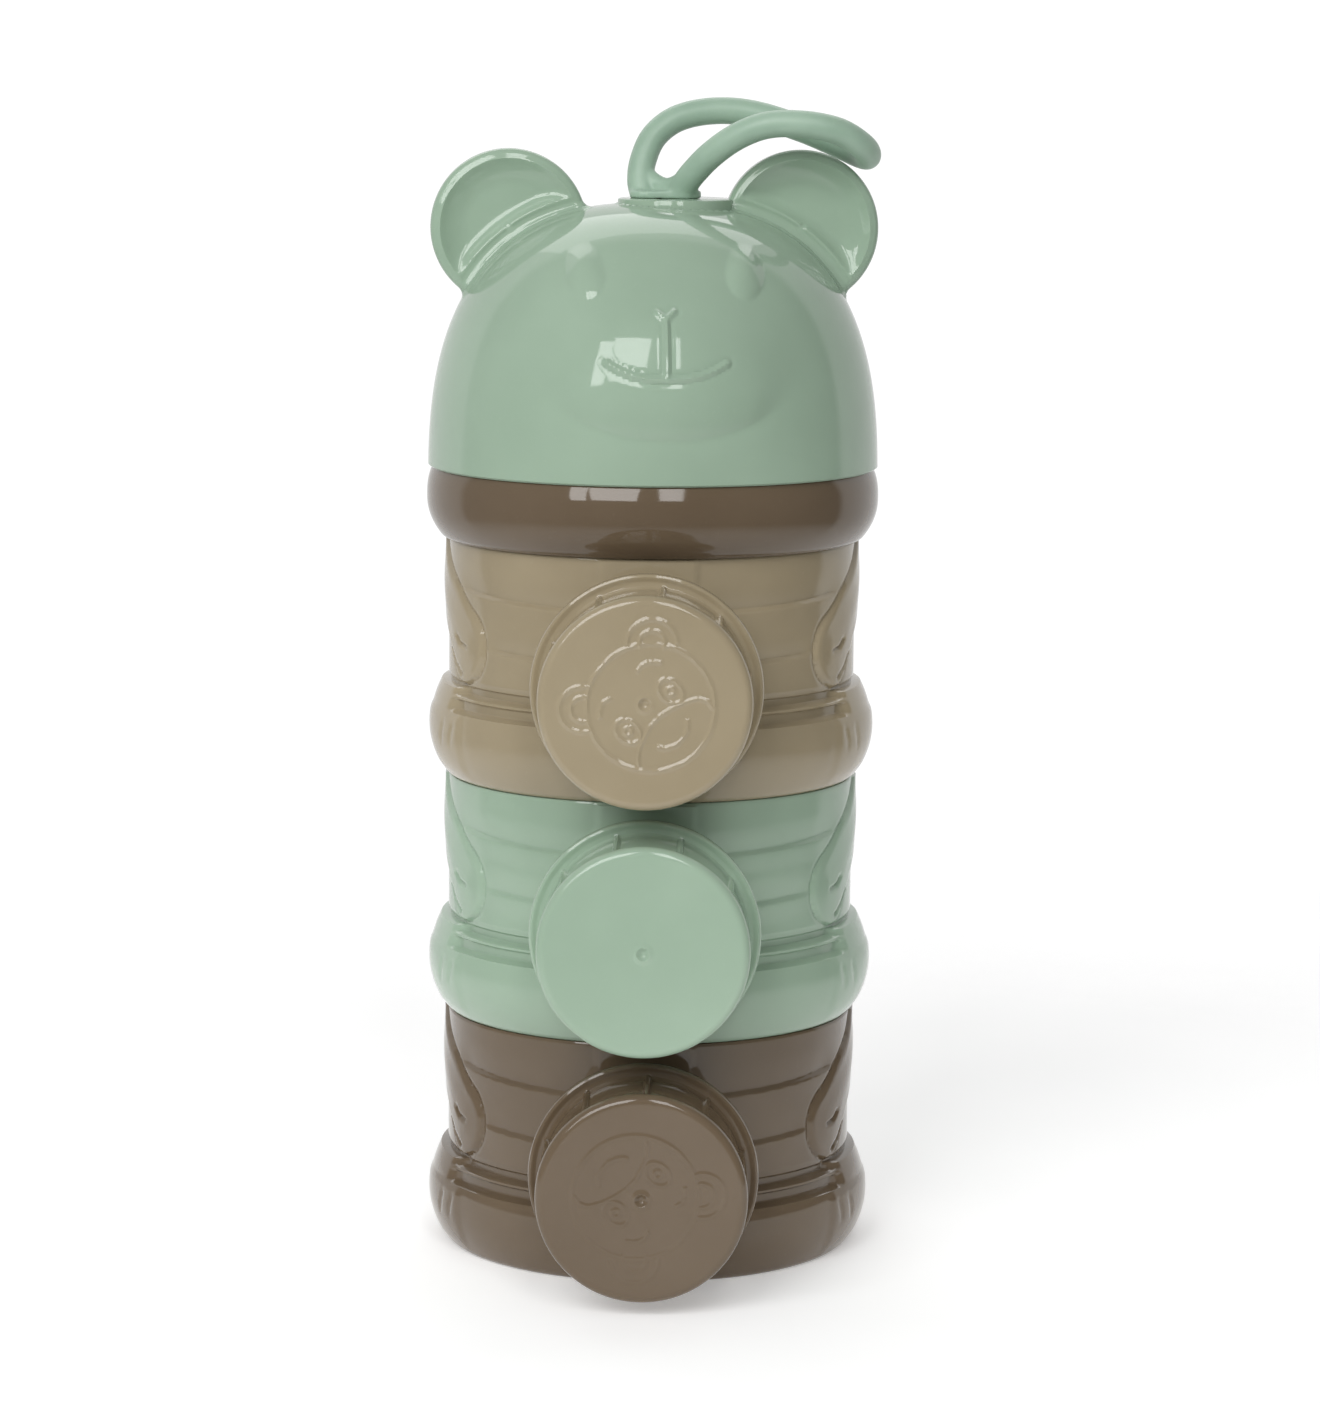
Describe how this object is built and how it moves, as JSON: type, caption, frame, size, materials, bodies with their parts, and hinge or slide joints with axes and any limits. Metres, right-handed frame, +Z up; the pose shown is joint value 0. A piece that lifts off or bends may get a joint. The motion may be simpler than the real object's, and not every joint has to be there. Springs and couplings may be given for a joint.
{
  "type": "formula dispenser",
  "caption": "Stack of round screw-together powder containers, each with a capped pouring spout on the front, under a hollow animal-head lid with round ears and a soft carry loop.",
  "frame": {"origin": "centre of the round foot of the lowest container, on the surface it stands on, on the stack axis", "axes": "+Z up the stack axis, -Y forwards along the three spouts, +X to the right seen from the front, where the carry loop leans"},
  "size_m": [0.0884, 0.1102, 0.2253],
  "materials": {
    "mint_shell": "glossy moulded polypropylene",
    "sand_shell": "glossy moulded polypropylene",
    "cocoa_shell": "glossy moulded polypropylene",
    "mint_soft": "satin moulded thermoplastic elastomer",
    "seal": "translucent moulded silicone",
    "clip": "moulded acetal"
  },
  "bodies": {
    "base": {"container_bottom": "cocoa_shell"},
    "seal_bottom": {"mouth_seal_bottom": "seal"},
    "middle": {"container_middle": "mint_shell"},
    "seal_middle": {"mouth_seal_middle": "seal"},
    "top": {"container_top": "sand_shell"},
    "seal_top": {"mouth_seal_top": "seal"},
    "lid": {"lid_base": "cocoa_shell"},
    "seal_head": {"head_seal": "seal"},
    "head": {"head_cover": "mint_shell"},
    "liner_bottom": {"cap_liner_bottom": "seal"},
    "cap_bottom": {"spout_cap_bottom": "cocoa_shell"},
    "liner_middle": {"cap_liner_middle": "seal"},
    "cap_middle": {"spout_cap_middle": "mint_shell"},
    "liner_top": {"cap_liner_top": "seal"},
    "cap_top": {"spout_cap_top": "sand_shell"},
    "loop": {"carry_loop": "mint_soft", "loop_washer": "seal", "loop_clip": "clip"}
  },
  "joints": [
    {"name": "middle_travel", "type": "slide", "parent": "base", "child": "seal_bottom", "axis": [0, 0, 1], "range_m": [0, 0.00302]},
    {"name": "middle_unscrew", "type": "hinge", "parent": "seal_bottom", "child": "middle", "pos_m": [0, 0, 0.0467], "axis": [0, 0, 1], "range_deg": [0, 270]},
    {"name": "top_travel", "type": "slide", "parent": "middle", "child": "seal_middle", "axis": [0, 0, 1], "range_m": [0, 0.00302]},
    {"name": "top_unscrew", "type": "hinge", "parent": "seal_middle", "child": "top", "pos_m": [0, 0, 0.0934], "axis": [0, 0, 1], "range_deg": [0, 270]},
    {"name": "lid_travel", "type": "slide", "parent": "top", "child": "seal_top", "axis": [0, 0, 1], "range_m": [0, 0.00302]},
    {"name": "lid_unscrew", "type": "hinge", "parent": "seal_top", "child": "lid", "pos_m": [0, 0, 0.1401], "axis": [0, 0, 1], "range_deg": [0, 270]},
    {"name": "head_travel", "type": "slide", "parent": "lid", "child": "seal_head", "axis": [0, 0, 1], "range_m": [0, 0.00302]},
    {"name": "head_unscrew", "type": "hinge", "parent": "seal_head", "child": "head", "pos_m": [0, 0, 0.1539], "axis": [0, 0, 1], "range_deg": [0, 270]},
    {"name": "cap_bottom_travel", "type": "slide", "parent": "base", "child": "liner_bottom", "axis": [0, -1, 0], "range_m": [0, 0.00402]},
    {"name": "cap_bottom_unscrew", "type": "hinge", "parent": "liner_bottom", "child": "cap_bottom", "pos_m": [0, -0.06, 0.0228], "axis": [0, -1, 0], "range_deg": [0, 480]},
    {"name": "cap_middle_travel", "type": "slide", "parent": "middle", "child": "liner_middle", "axis": [0, -1, 0], "range_m": [0, 0.00402]},
    {"name": "cap_middle_unscrew", "type": "hinge", "parent": "liner_middle", "child": "cap_middle", "pos_m": [0, -0.06, 0.0695], "axis": [0, -1, 0], "range_deg": [0, 480]},
    {"name": "cap_top_travel", "type": "slide", "parent": "top", "child": "liner_top", "axis": [0, -1, 0], "range_m": [0, 0.00402]},
    {"name": "cap_top_unscrew", "type": "hinge", "parent": "liner_top", "child": "cap_top", "pos_m": [0, -0.06, 0.1162], "axis": [0, -1, 0], "range_deg": [0, 480]},
    {"name": "loop_swivel", "type": "hinge", "parent": "head", "child": "loop", "pos_m": [0, 0, 0.204], "axis": [0, 0, 1], "continuous": true}
  ],
  "couplings": [
    {"joint": "middle_travel", "follows": "middle_unscrew", "m_per_rad": 0.00063662},
    {"joint": "top_travel", "follows": "top_unscrew", "m_per_rad": 0.00063662},
    {"joint": "lid_travel", "follows": "lid_unscrew", "m_per_rad": 0.00063662},
    {"joint": "head_travel", "follows": "head_unscrew", "m_per_rad": 0.00063662},
    {"joint": "cap_bottom_travel", "follows": "cap_bottom_unscrew", "m_per_rad": 0.00047746},
    {"joint": "cap_middle_travel", "follows": "cap_middle_unscrew", "m_per_rad": 0.00047746},
    {"joint": "cap_top_travel", "follows": "cap_top_unscrew", "m_per_rad": 0.00047746}
  ]
}
